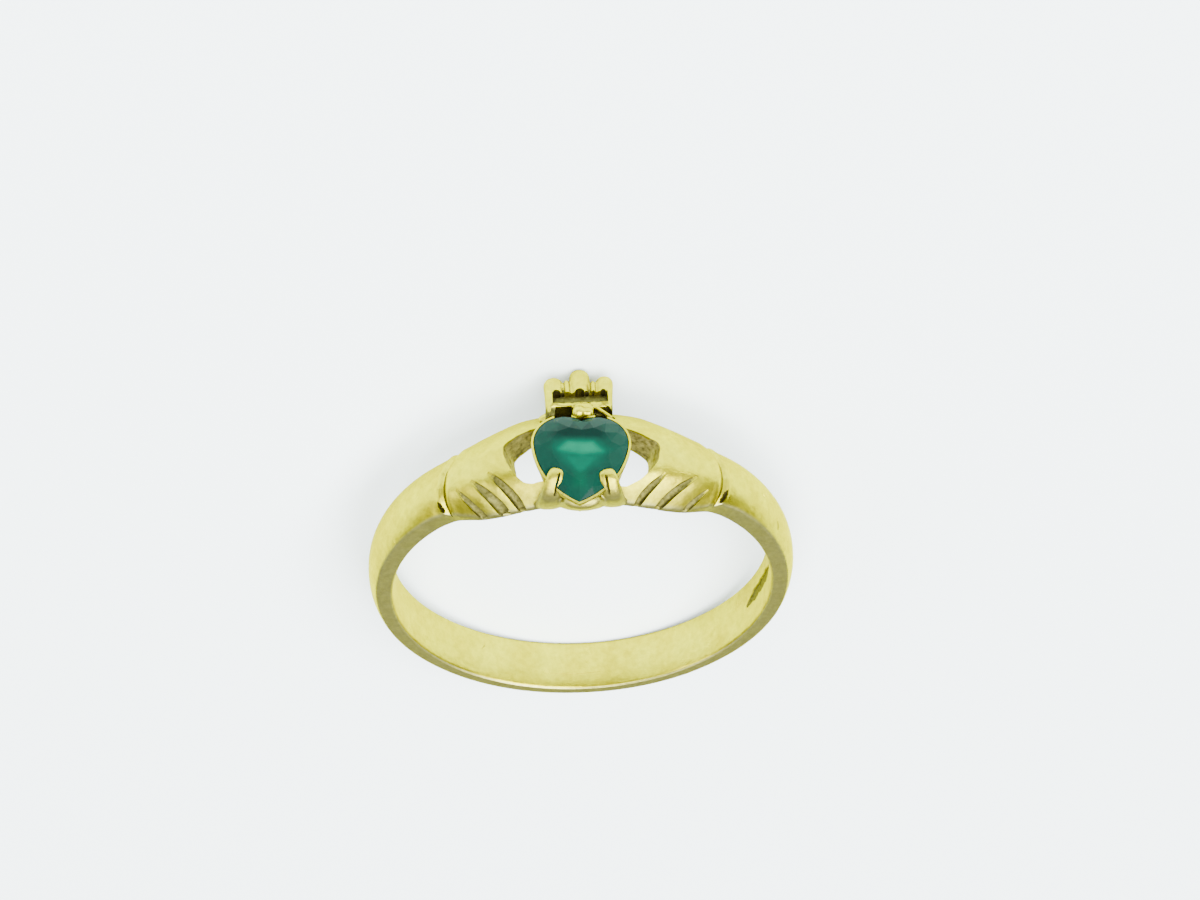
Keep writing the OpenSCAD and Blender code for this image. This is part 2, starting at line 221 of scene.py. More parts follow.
# The strands of solder that run from the crown to the hands
SOLDER = [
    [(0.62, 1.80, 10.16, 0.13, 0.10), (1.0, 1.48, 10.16, 0.13, 0.10), (1.46, 1.12, 10.05, 0.13, 0.10)],
    [(-1.62, 1.5, 9.75, 0.2, 0.2), (-1.3, 1.55, 9.9, 0.2, 0.2), (-1.1, 1.7, 9.95, 0.18, 0.2)],
]

# The slot across the crown: its two ends, and its profile of places along the finger and heights
SLOT_X = (-1.17, 1.24)
SLOT = [(2.56, 10.5), (2.55, 9.96), (2.36, 10.03), (2.04, 10.13), (2.00, 10.2), (1.97, 10.5)]
# The round pockets along the slot's upper edge: x, radius
POCKETS = [(-0.96, 0.17), (-0.70, 0.07), (0.02, 0.21), (0.34, 0.09), (0.62, 0.05), (1.04, 0.11)]
# The recesses between the crown and the stone: the height of the floor, and the corners
RECESS_TOP = 10.8
RECESSES = [
    (9.45, [(-1.16, 1.10), (-0.40, 1.10), (-0.34, 1.84), (-1.06, 1.84)]),
    (10.36, [(-1.10, 0.55), (-0.34, 0.50), (-0.40, 1.14), (-1.16, 1.14)]),
    (9.5, [(0.62, 1.06), (1.10, 1.00), (0.86, 1.36), (0.64, 1.60)]),
    (10.36, [(0.60, 0.50), (1.30, 0.40), (1.10, 1.02), (0.62, 1.10)]),
    (10.36, [(-0.36, 0.50), (0.62, 0.50), (0.55, 0.93), (-0.32, 0.93)]),
    (9.6, [(0.86, 1.76), (1.34, 1.30), (1.50, 1.44), (1.24, 1.78)]),
]
# Pits at the fingers' ends: x, place along the finger, height, and the half size along each
PITS = [
    (-2.42, -1.80, 9.66, 0.035, 0.07, 0.10),
    (-1.96, -1.86, 9.64, 0.07, 0.05, 0.12),
    (-2.04, -2.16, 9.56, 0.05, 0.08, 0.12),
    (2.34, -1.76, 9.72, 0.07, 0.05, 0.12),
]
# The fine line beside one large claw
CLAW_LINE = [(1.62, -1.72, 9.88, 0.03, 0.09), (1.66, -2.0, 9.82, 0.03, 0.09), (1.68, -2.24, 9.55, 0.03, 0.09)]
# Dents on the band: angle, place along the finger, radius of the surface, radius of the dent, its flatness
DENTS = [(48.0, 0.3, 9.83, 0.05, 1), (-39.6, -0.5, 9.9, 0.07, 0.6), (-40.4, -0.15, 9.92, 0.06, 0.6)]
# Scratches: half width, and the two ends as angle, place along the finger and radius
SCRATCHES = [
    (0.03, (21.4, -1.06, 9.96), (30.0, -0.93, 9.95)),
    (0.05, (64.0, -0.55, 9.63), (65.5, -0.95, 9.50)),
    (0.03, (55.0, 0.05, 9.74), (56.4, -0.12, 9.73)),
    (0.03, (-43.2, 0.25, 9.85), (-42.4, -0.05, 9.86)),
    (0.03, (-148.5, 0.52, BORE_R), (-147.0, 0.22, BORE_R)),
]
# Longer marks inside the band: half width, depth, and the line. The first is a worn recess.
BORE_MARKS = [
    (0.3, 0.09, [(91.0, -0.1, BORE_R), (98.0, 0.06, BORE_R), (105.0, 0.14, BORE_R), (111.0, 0.12, BORE_R),
                 (117.0, -0.06, BORE_R)]),
    (0.04, 0.04, [(142.0, -1.21, 8.56), (166.0, -1.21, 8.56), (190.0, -1.21, 8.56)]),
    (0.02, 0.02, [(-167.0, -0.44, BORE_R), (-179.0, -0.50, BORE_R), (-188.0, -0.39, BORE_R)]),
]

# The crossed waves that make the openings' walls uneven: shares of x, y and z, and phase
WAVES = [(1.0, 0.4, 0.2, 0.3), (-0.5, 1.1, 0.6, 1.9), (0.7, -0.9, 1.2, 4.1), (1.7, 1.3, -0.8, 2.2),
         (-1.4, 2.1, 1.5, 0.7)]
# The setting's cup: height, and its width and length as shares of the stone's
CUP = [
    (7.6, 0.80, 0.66),
    (8.5, 0.86, 0.775),
    (9.0, 0.89, 0.83),
    (9.5, 0.925, 0.885),
    (10.0, 0.96, 0.94),
    (10.4, 0.99, 0.985),
    (10.56, 1.0, 1.0),
]

# The casting's mesh: the size of its voxels, how often its edges are smoothed, and its most triangles
VOXEL = 0.045
SMOOTH_STEPS = 5
MOST_TRIANGLES = 150000
# Edges of the gold that turn by more than this stay sharp
SHARP_TURN = math.radians(38)


def on_ring(angle, y, radius):
    """Points at these angles in degrees, places along the finger and radii."""
    a = np.radians(angle)
    return np.stack(np.broadcast_arrays(radius * np.sin(a), y, radius * np.cos(a)), -1)


def body_at(angle, column):
    """A column of BODY at these angles, with its corners rounded over a few degrees."""
    table = np.array(BODY, float)
    total = 0
    for step in (-1.6, -0.8, 0.0, 0.8, 1.6):
        total = total + np.interp(np.abs(angle + step), table[:, 0], table[:, column])
    return total / 5


def edges_at(angle):
    """Where the body's two edges lie along the finger at these angles."""
    return body_at(angle, LOWER_EDGE), body_at(angle, UPPER_EDGE)


def surface_at(angle, y):
    """The radius of the smooth outer surface: a low dome, falling more steeply over the fingers."""
    low, high = edges_at(angle)
    across = np.clip((2 * y - low - high) / (high - low), -1, 1)
    crest = body_at(angle, CREST)
    drop = crest - np.where(across < 0, body_at(angle, LOWER_CORNER), body_at(angle, UPPER_CORNER))
    return crest - drop * np.abs(across) ** np.where(across < 0, 2.3 + np.clip(drop - 0.6, 0, 1), 2.3)


def cuff_relief(angle, y):
    """The broad dip along each cuff's line and the lips on both sides of it."""
    total = 0
    for line in CUFF_LINES:
        points = np.array(line, float)[::-1]
        middle = np.interp(y, points[:, 1], points[:, 0])
        out = np.sign(middle) * (angle - middle) * math.radians(1) * HEAD_R
        for height, place, breadth in CUFF_WAVES:
            total = total + height * np.exp(-(((out - place) / breadth) ** 2))
    return total


def finger_relief(angle, y):
    """Fingers swell a little between their grooves, and sink towards them."""
    arc = np.radians(angle) * HEAD_R
    total = np.zeros(np.broadcast(angle, y).shape)
    for line in GROOVES:
        points = np.array(line, float)[:4]
        points[:, 0] = np.radians(points[:, 0]) * HEAD_R
        for first, second in zip(points[:-1], points[1:]):
            along = second[:2] - first[:2]
            share = ((arc - first[0]) * along[0] + (y - first[1]) * along[1]) / along.dot(along)
            share = np.clip(share, 0, 1)
            away = np.hypot(arc - first[0] - share * along[0], y - first[1] - share * along[1])
            depth = first[4] + share * (second[4] - first[4])
            total = np.maximum(total, 0.3 * depth * np.exp(-((away / 0.3) ** 2)))
    return -total


def rough_noise(x, y, z, scale):
    """Smooth, repeatable unevenness from a few crossed waves, between about -1 and 1."""
    total = 0
    for k, (a, b, c, phase) in enumerate(WAVES):
        total = total + np.sin(scale * (a * x + b * y + c * z) + phase) / (1 + 0.5 * k)
    return total / 3


def grid_mesh(points):
    """A closed tube whose rings are the rows of points."""
    rows, columns = points.shape[:2]
    r, c = np.meshgrid(np.arange(rows), np.arange(columns), indexing="ij")
    r2, c2 = (r + 1) % rows, (c + 1) % columns
    faces = np.stack([r * columns + c, r2 * columns + c, r2 * columns + c2, r * columns + c2], -1)
    points = points.reshape(-1, 3)
    return points, outward(points, faces.reshape(-1, 4).tolist())


def linked(name, data):
    """A new object of the scene."""
    made = bpy.data.objects.new(name, data)
    bpy.context.scene.collection.objects.link(made)
    return made


def new_object(name, points, faces):
    """A mesh object in the scene."""
    mesh = bpy.data.meshes.new(name)
    mesh.from_pydata(np.asarray(points, float).tolist(), [], faces)
    mesh.validate()
    mesh.update()
    return linked(name, mesh)


def outward(points, faces):
    """The faces turned so that the closed mesh's volume is positive."""
    points = np.asarray(points, float)
    volume = 0
    for f in faces:
        for i in range(1, len(f) - 1):
            volume += np.dot(points[f[0]], np.cross(points[f[i]], points[f[i + 1]]))
    return faces if volume > 0 else [f[::-1] for f in faces]


def lofted(rings):
    """A closed solid through rings of equal count."""
    rings = [np.asarray(r, float) for r in rings]
    n = len(rings[0])
    points = np.concatenate(rings + [rings[0].mean(0)[None], rings[-1].mean(0)[None]])
    faces = []
    for k in range(len(rings) - 1):
        for i in range(n):
            j = (i + 1) % n
            faces.append([k * n + i, k * n + j, (k + 1) * n + j, (k + 1) * n + i])
    first, last = len(points) - 2, len(points) - 1
    for i in range(n):
        j = (i + 1) % n
        faces.append([first, j, i])
        faces.append([last, (len(rings) - 1) * n + i, (len(rings) - 1) * n + j])
    return points, outward(points, faces)


def unit(vectors):
    """The rows with their lengths made one."""
    return vectors / np.linalg.norm(vectors, axis=1, keepdims=True)


def turns(count):
    """Angles evenly round a circle."""
    return np.linspace(0, 2 * math.pi, count, endpoint=False)


def smooth_line(points, steps):
    """A finer line through points, with rounded corners."""
    points = np.array(points, float)
    place = np.linspace(0, len(points) - 1, steps)
    total = 0
    for shift in (-0.3, 0.0, 0.3):
        where = np.clip(place + shift, 0, len(points) - 1)
        total = total + np.stack([np.interp(where, np.arange(len(points)), c) for c in points.T], -1)
    return total / 3


def rod(rows, lateral=(1, 0, 0), section=None):
    """A bar with rounded ends along a rod's table. Its half widths lie along lateral."""
    section = np.array(circle(20)) if section is None else section
    rows = np.array(rows, float)
    line = smooth_line(rows, 4 * len(rows))
    line[0] = rows[0]
    line[-1] = rows[-1]
    ways = unit(np.gradient(line[:, :3], axis=0))
    end_turns = (0.35, 0.7, 1.1, 1.4)
    stations = []
    for turn in reversed(end_turns):
        reach = line[0, 4] * math.sin(turn)
        stations.append((line[0, :3] - ways[0] * reach, ways[0], line[0, 3:] * math.cos(turn)))
    stations += [(row[:3], way, row[3:]) for row, way in zip(line, ways)]
    for turn in end_turns:
        reach = line[-1, 4] * math.sin(turn)
        stations.append((line[-1, :3] + ways[-1] * reach, ways[-1], line[-1, 3:] * math.cos(turn)))
    rings = []
    for centre, way, size in stations:
        aside = np.array(lateral, float)
        aside = aside - way * aside.dot(way)
        aside /= np.linalg.norm(aside)
        up = np.cross(way, aside)
        rings.append(centre + size[0] * section[:, :1] * aside + size[1] * section[:, 1:] * up)
    return lofted(rings)


def ball(centre, radius, squash=(1, 1, 1)):
    """A ball, squashed by a share along each axis."""
    turn = turns(20)
    rings = []
    for rise in np.linspace(-1.45, 1.45, 11):
        flat = np.stack([np.cos(turn) * math.cos(rise), np.sin(turn) * math.cos(rise),
                         np.full(len(turn), math.sin(rise))], -1)
        rings.append(np.array(centre) + radius * flat * np.array(squash))
    return lofted(rings)


def prism_x(profile, x0, x1):
    """A solid along X with a profile of places along the finger and heights."""
    return lofted([[(x, y, z) for y, z in profile] for x in (x0, x1)])


def circle(count):
    """Cosines and sines round a circle."""
    return [(math.cos(t), math.sin(t)) for t in turns(count)]


def block(low, high):
    """A box between two corners."""
    (x0, y0, z0), (x1, y1, z1) = low, high
    return prism_x([(y0, z0), (y1, z0), (y1, z1), (y0, z1)], x0, x1)


def joined(parts):
    """Several closed solids as one list of points and faces."""
    points, faces, count = [], [], 0
    for p, f in parts:
        points.append(np.asarray(p, float))
        faces += [[i + count for i in face] for face in f]
        count += len(p)
    return np.concatenate(points), faces


def arc_points(centre, radius, angles):
    """Points of a circle at these angles."""
    return [centre + radius * np.array([math.cos(t), math.sin(t)]) for t in angles]


def heart(grow, lobe_steps=22, flank_steps=14):
    """The heart's outline grown by grow, from the cleft over the left lobe, the tip and the right lobe."""
    lobe = np.array([STONE_W / 2 - LOBE_R, STONE_L / 2 - LOBE_R])
    tip = np.array([0, -STONE_L / 2])
    reach = np.linalg.norm(lobe - tip)
    along = (FLANK_R**2 - (FLANK_R - LOBE_R) ** 2 + reach * reach) / (2 * reach)
    aside = math.sqrt(FLANK_R**2 - along**2)
    way = (lobe - tip) / reach
    flank = tip + along * way + aside * np.array([-way[1], way[0]])
    lobe_r, flank_r = LOBE_R + grow, FLANK_R + grow
    start = math.pi - math.acos(lobe[0] / lobe_r)
    join = math.atan2(lobe[1] - flank[1], lobe[0] - flank[0])
    finish = -math.acos(-flank[0] / flank_r)
    half = arc_points(lobe, lobe_r, np.linspace(start, join, lobe_steps + 1))
    half += arc_points(flank, flank_r, np.linspace(join, finish, flank_steps + 1)[1:])
    half[0][0] = half[-1][0] = 0
    half = np.array(half)
    left = half[1:-1] * (-1, 1)
    return np.concatenate([half[:1], left, half[-1:], half[-2:0:-1]])


def set_in_head(flat):
    """The stone's own plane turned and moved to its place in the head."""
    c, s = math.cos(STONE_LEAN), math.sin(STONE_LEAN)
    flat = np.asarray(flat, float)
    return np.stack([flat[..., 0] * c + flat[..., 1] * s + STONE_X,
                     -flat[..., 0] * s + flat[..., 1] * c + STONE_Y], -1)


def placed(outline, z, share=1.0, towards=0.0):
    """An outline at height z, shrunk to a share towards a place on the stone's middle line."""
    share = np.broadcast_to(share, 2)
    flat = np.array(outline) * share + (0, (1 - share[1]) * towards)
    out = set_in_head(flat)
    return np.column_stack([out, np.full(len(out), z)])


def band_and_hands():
    """The band, the shoulders and the backs of the hands, as one closed tube."""
    fine = np.arange(-46, 46, 0.35)
    coarse = np.arange(46, 314, 1.2)
    angle = np.concatenate([fine, coarse])
    angle = np.where(angle > 180, angle - 360, angle)[:, None]
    low, high = edges_at(angle)
    across = np.linspace(1, -1, 70)[None]
    y = (low + high) / 2 + across * (high - low) / 2
    radius = surface_at(angle, y) + cuff_relief(angle, y) + finger_relief(angle, y)
    side = np.linspace(0, 1, 9)[None, 1:-1]
    inner = BORE_R - 0.12
    lower_y = np.repeat(y[:, -1:], 7, 1)
    lower_r = radius[:, -1:] + (inner - radius[:, -1:]) * side
    upper_y = np.repeat(y[:, :1], 7, 1)
    upper_r = inner + (radius[:, :1] - inner) * side
    inside = np.linspace(0, 1, 24)[None]
    inner_y = y[:, -1:] + (y[:, :1] - y[:, -1:]) * inside
    inner_r = inner + 0 * inner_y
    all_y = np.concatenate([y, lower_y, inner_y, upper_y], 1)
    all_r = np.concatenate([radius, lower_r, inner_r, upper_r], 1)
    return grid_mesh(on_ring(angle, all_y, all_r))


def finger_hole():
    """The bore, a little wider at both edges where a finger has worn it round."""
    angle = np.arange(0, 360, 1.0)
    angle = np.where(angle > 180, angle - 360, angle)
    low, high = edges_at(angle)
    levels = [(low - 2.5, 0.10), (low, 0.10), (low + 0.06, 0.045), (low + 0.16, 0.0), (high - 0.16, 0.0),
              (high - 0.06, 0.045), (high, 0.10), (high + 3, 0.10)]
    return lofted([on_ring(angle, y, BORE_R + wider) for y, wider in levels])


def opening(outline):
    """The cutter of an opening, radial from the finger outwards, with slightly uneven walls."""
    table = smooth_line(list(outline) + [outline[0]], 61)[:-1]
    rings = []
    for r in np.linspace(7.6, 11.6, 25):
        uneven = 0.025 * rough_noise(table[:, 0] * 0.35, table[:, 1] * 2, r * 1.5, 3.0)
        middle = table.mean(0)
        out = (table - middle) * (1 + uneven[:, None])
        rings.append(on_ring(middle[0] + out[:, 0], middle[1] + out[:, 1], r))
    return lofted(rings)


def setting():
    """The thin cup round the stone, narrowing towards the finger under the lobes."""
    grow = SEAT_GAP + WALL_T
    rings = [placed(heart(grow), z, (wide, long), STONE_L / 2) for z, wide, long in CUP]
    rings.append(placed(heart(grow - 0.01), GIRDLE_Z + 0.03))
    rings.append(placed(heart(grow - 0.05), GIRDLE_Z + 0.05))
    return lofted(rings)


def claws():
    """The two large claws, the small one between the lobes, and the foot below the heart's tip."""
    blunt = squarer(np.array(circle(24)), 0.86)
    parts = [rod(rows, section=blunt) for rows in CLAWS]
    parts.append(rod(SMALL_CLAW))
    parts += [ball((x, y, z), radius) for x, y, z, radius in BEADS]
    parts.append(rod(BEAD_BAR, (0, 1, 0)))
    parts.append(rod(FOOT))
    return parts


def flute(x, tip_x, tip_y, width, height):
    """A half-round column of the crown with a rounded top."""
    z = CROWN_Z - height
    middle = ((x + tip_x) / 2, (FLUTE_FOOT_Y + tip_y) / 2, z + 0.01)
    return rod([(x, FLUTE_FOOT_Y, z, width * 0.96, height), (*middle, width, height),
                (tip_x, tip_y - height, z - 0.02, width, height)])


def crown():
    """The crown above the heart, with the solder that joins it."""
    parts = [flute(*row) for row in FLUTES]
    for x0, x1, y0, y1, above, below in CROWN_BLOCKS:
        parts.append(block((x0, y0, CROWN_BACK_Z + above), (x1, y1, CROWN_Z - below)))
    for x in CROWN_SIDE_X:
        parts.append(rod([(x, y, CROWN_Z - depth, wide, thick) for y, depth, wide, thick in CROWN_SIDE]))
    rail = [(x, y, CROWN_Z - depth, wide, thick) for x, y, depth, wide, thick in CROWN_RAIL]
    parts.append(rod(rail, (0, 1, 0)))
    parts += [rod(rows, (0, 0, 1)) for rows in SOLDER]
    return parts


def stone_cavity():
    """The room for the stone: its outline and levels grown by the gap."""
    tip = placed(heart(SEAT_GAP), CULET_Z - SEAT_GAP, 0.02, STONE_MIDDLE)
    low = placed(heart(SEAT_GAP), GIRDLE_Z - GIRDLE_T / 2 - SEAT_GAP)
    high = placed(heart(SEAT_GAP), GIRDLE_Z + GIRDLE_T / 2 + 2 * SEAT_GAP)
    top = placed(heart(SEAT_GAP), TABLE_Z + SEAT_GAP, 0.62, STONE_MIDDLE)
    return lofted([tip, low, high, top])


def light_hole():
    """The round hole behind the stone."""
    turn = turns(40)
    ring = np.column_stack([0.8 * np.cos(turn), STONE_Y + 0.75 * np.sin(turn)])
    return lofted([np.column_stack([ring, np.full(len(turn), z)]) for z in (7.0, 9.55)])


def groove(line):
    """The cutter of one groove between two fingers: leaf-shaped, and turning onto the side face."""
    table = smooth_line(np.column_stack([line, GROOVE_TURN]), 22)
    side = table[:, 5:]
    surface = surface_at(table[:, 0], table[:, 1]) + finger_relief(table[:, 0], table[:, 1])
    radius = np.where(side[:, 0] < 0.5, surface + 0.01, np.minimum(surface, table[:, 2]))
    centre = on_ring(table[:, 0], table[:, 1], radius)
    radial = on_ring(table[:, 0], 0, 1)
    way = unit(np.gradient(centre, axis=0))
    out = (1 - side) * radial + side * np.array([0, -1, 0])
    out = unit(out - way * (out * way).sum(1, keepdims=True))
    across = np.cross(way, out)
    turn = turns(14)
    flat_x, flat_y = squarer(np.cos(turn)), squarer(np.sin(turn))
    rings = []
    for k in range(len(table)):
        uneven = 1 + 0.12 * math.sin(2.1 * k) * math.sin(0.9 * k + 1)
        width, depth = table[k, 3], table[k, 4] * uneven
        rings.append(centre[k] + width * flat_x[:, None] * across[k] + depth * flat_y[:, None] * out[k])
    return lofted(rings)


def squarer(value, power=0.6):
    """Turns a circle's cosine or sine into that of a rounded square."""
    return np.sign(value) * np.abs(value) ** power


def line_cutter(line, width, depth):
    """The cutter of a thin line on the surface, uneven and tapered at both ends."""
    table = smooth_line(line, 5 * len(line))
    points = on_ring(table[:, 0], table[:, 1], table[:, 2])
    radial = on_ring(table[:, 0], 0, 1)
    way = unit(np.gradient(points, axis=0))
    across = unit(np.cross(way, radial))
    out = np.cross(across, way)
    turn = turns(12)
    count = len(table)
    rings = []
    for k in range(count):
        taper = min(1, 0.25 + 3 * k / count, 0.25 + 3 * (count - 1 - k) / count)
        uneven = 1 + 0.18 * math.sin(1.7 * k) * math.sin(0.6 * k)
        rings.append(points[k] + width * taper * uneven * np.cos(turn)[:, None] * across[k]
                     + depth * taper * np.sin(turn)[:, None] * out[k])
    return lofted(rings)


def scratch(width, first, last):
    """The cutter of a fine scratch or nick between two places on the surface."""
    return line_cutter([first, tuple(np.mean([first, last], 0)), last], width, width)


def crisp_cuts():
    """What is cut sharply into the soft casting."""
    cuts = [groove(line) for line in GROOVES]
    cuts += [line_cutter(line, 0.065, 0.2) for line in CUFF_LINES]
    cuts += [line_cutter(line, 0.11, 0.28) for line in CUFF_NICKS]
    cuts.append(prism_x(SLOT, *SLOT_X))
    for x, r in POCKETS:
        ring = [(x + r * c, SLOT[1][0] + 0.75 * r * s) for c, s in circle(16)]
        cuts.append(lofted([[(*place, z) for place in ring] for z in (9.8, 10.6)]))
    for floor, corners in RECESSES:
        cuts.append(lofted([[(x, y, z) for x, y in corners] for z in (floor, RECESS_TOP)]))
    cuts += [rod(rows) for rows in CLAW_SLITS]
    cuts += [ball((x, y, z), 1, half_sizes) for x, y, z, *half_sizes in PITS]
    cuts.append(rod(CLAW_LINE))
    cuts += [scratch(*row) for row in SCRATCHES]
    cuts += [line_cutter(line, width, depth) for width, depth, line in BORE_MARKS]
    cuts += [ball(on_ring(angle, y, r), size, (1, 1, flat)) for angle, y, r, size, flat in DENTS]
    return cuts


def apply_modifiers(piece):
    """Makes the piece's modifiers part of its mesh."""
    graph = bpy.context.evaluated_depsgraph_get()
    mesh = bpy.data.meshes.new_from_object(piece.evaluated_get(graph))
    piece.modifiers.clear()
    old = piece.data
    piece.data = mesh
    bpy.data.meshes.remove(old)


def cut(piece, solid, how="DIFFERENCE"):
    """Takes a closed solid away from a piece, or adds it."""
    tool = new_object("cutter", *solid)
    modifier = piece.modifiers.new("cut", "BOOLEAN")
    modifier.operation = how
    modifier.solver = "MANIFOLD"
    modifier.object = tool
    apply_modifiers(piece)
    bpy.data.objects.remove(tool)


def remesh(piece, voxel):
    """Fuses the piece's overlapping solids into one even mesh."""
    modifier = piece.modifiers.new("remesh", "REMESH")
    modifier.mode = "VOXEL"
    modifier.voxel_size = voxel
    modifier.adaptivity = 0
    apply_modifiers(piece)


def coordinates(mesh):
    """The places of a mesh's points."""
    out = np.zeros(len(mesh.vertices) * 3)
    mesh.vertices.foreach_get("co", out)
    return out.reshape(-1, 3)


def relax(piece, steps):
    """Rounds every edge of the mesh a little, as casting and polishing do."""
    mesh = piece.data
    points = coordinates(mesh)
    edges = np.zeros(len(mesh.edges) * 2, np.int64)
    mesh.edges.foreach_get("vertices", edges)
    edges = edges.reshape(-1, 2)
    count = np.bincount(edges.ravel(), minlength=len(points))[:, None]
    for _ in range(steps):
        total = np.zeros_like(points)
        for k in range(3):
            total[:, k] = np.bincount(edges[:, 0], points[edges[:, 1], k], len(points))
            total[:, k] += np.bincount(edges[:, 1], points[edges[:, 0], k], len(points))
        points = points + 0.5 * (total / count - points)
    mesh.vertices.foreach_set("co", points.ravel())
    mesh.update()


def thin(piece, most):
    """Leaves the piece no more than about this many triangles."""
    triangles = sum(len(p.vertices) - 2 for p in piece.data.polygons)
    if triangles > most:
        modifier = piece.modifiers.new("thin", "DECIMATE")
        modifier.ratio = most / triangles
        apply_modifiers(piece)


def in_box(x, y, z, half_width, low, high, depth):
    """Whether places lie in a hollow of the crown, which gets painted shade and a rougher surface."""
    return (np.abs(x) < half_width) & (y > low) & (y < high) & (z > 9.2) & (z < CROWN_Z - depth)


def in_slit(x, y, z, rows):
    """Whether places lie on the walls of a claw's slit."""
    rows = np.array(rows)[::-1]
    middle = np.interp(y, rows[:, 1], rows[:, 0])
    top = np.interp(y, rows[:, 1], rows[:, 2])
    along = (y < rows[-1, 1] + 0.1) & (y > rows[0, 1] - 0.05)
    return along & (np.abs(x - middle) < 1.15 * rows[-1, 3]) & (np.abs(z - top) < 0.22) & (z > 10.2)


def shade_and_wear_shares(centres):
    """How far each place is a rough hollow, a side face or an opening's wall, the places that get painted
    shade; the hollows' share also covers the worn mark inside the band.
    """
    x, y, z = centres.T
    angle, radius = np.degrees(np.arctan2(x, z)), np.hypot(x, z)
    low, high = edges_at(angle)
    outside = radius > BORE_R + 0.03
    outer = surface_at(angle, y) + cuff_relief(angle, y) + finger_relief(angle, y)
    # Hollows below the outer surface get a dark painted shade and a rougher surface.
    hollow = np.clip((outer - radius - 0.05) / 0.04, 0, 1)
    hollow = hollow * (radius > BORE_R + 0.04) * (y > low + 0.09) * (y < high - 0.09)
    for rows in CLAW_SLITS:
        hollow = np.maximum(hollow, in_slit(x, y, z, rows))
    # The openings' walls get a paler painted shade than the other hollows.
    wall = hollow * (np.abs(angle) < 20.6 + 3.2 * np.minimum(0, y + 0.2)) * (y > -1.8) * (y < 1.4)
    slot = in_box(x, y, z, 1.25, 1.98, 2.75, 0.14)
    recess = in_box(x, y, z, 1.5, 0.9, 1.83, 0.12)
    # The worn mark inside the band is darkened with the hollows' colour too.
    mark = (np.abs(angle - 104) < 14) & (np.abs(y) < 0.4)
    mark = mark & (radius > BORE_R + 0.015) & (radius < BORE_R + 0.2)
    hollow = np.maximum(hollow, slot | recess | mark)
    # Side faces get an olive painted shade.
    side = np.clip((low + 0.12 - y) / 0.1, 0, 1)
    side = side + np.clip((y - high + 0.1) / 0.1, 0, 1) * (z < CROWN_BACK_Z)
    side = np.clip(side, 0, 1) * outside * (radius < body_at(angle, CREST) + 0.1)
    # Towards the fingers' ends, half of the hollows' painted shade is mixed in.
    fingers = 0.5 * np.clip((-0.9 - y) / 1.1, 0, 1) * (np.abs(angle) < 37) * outside
    fingers = fingers * np.clip((11.3 - z) / 1.0, 0, 1)
    # The claws' feet get the side faces' painted shade, and less of the hollows' painted shade.
    feet = np.clip((-2.1 - y) / 0.35, 0, 1) * np.clip((10.75 - z) / 0.6, 0, 1)
    feet = feet * np.clip((15 - np.abs(angle)) / 3, 0, 1)
    fingers = fingers * (1 - 0.8 * feet)
    side = np.maximum(side, 0.85 * feet)
    return np.maximum(hollow, fingers), side, wall


def paint_shade_and_wear(piece):
    """Stores the shares of painted shade in hollows, on side faces and on openings' walls on each face."""
    mesh = piece.data
    centres = np.zeros(len(mesh.polygons) * 3)
    mesh.polygons.foreach_get("center", centres)
    corner_count = np.zeros(len(mesh.polygons), np.int64)
    mesh.polygons.foreach_get("loop_total", corner_count)
    hollow, side, wall = shade_and_wear_shares(centres.reshape(-1, 3))
    colours = np.column_stack([hollow, side, wall, 1 + 0 * side])
    # Red, green and blue hold the shares of painted shade in hollows, on side faces and on openings' walls.
    layer = mesh.color_attributes.new("shade_and_wear", "FLOAT_COLOR", "CORNER")
    layer.data.foreach_set("color", np.repeat(colours, corner_count, axis=0).ravel())


def laid(piece, smooth, sharp_turn=None):
    """The piece laid down in the frame and shaded, with the edges sharp that turn by more than sharp_turn."""
    piece.data.transform(LAID_DOWN)
    piece.data.update()
    for polygon in piece.data.polygons:
        polygon.use_smooth = smooth
    if sharp_turn:
        work = bmesh.new()
        work.from_mesh(piece.data)
        for edge in work.edges:
            if len(edge.link_faces) == 2 and edge.calc_face_angle(0) > sharp_turn:
                edge.smooth = False
        work.to_mesh(piece.data)
        work.free()
    return piece


def make_gold():
    """The band, the hands, the setting, the claws and the crown as one casting."""
    gold = new_object("gold_ring", *joined([band_and_hands(), *claws(), *crown()]))
    remesh(gold, VOXEL)
    relax(gold, SMOOTH_STEPS)
    thin(gold, MOST_TRIANGLES)
    for outline in OPENINGS:
        cut(gold, opening(outline))
    cut(gold, setting(), "UNION")
    cut(gold, finger_hole())
    cut(gold, stone_cavity())
    cut(gold, light_hole())
    for solid in crisp_cuts():
        cut(gold, solid)
    paint_shade_and_wear(gold)
    return laid(gold, True, SHARP_TURN)


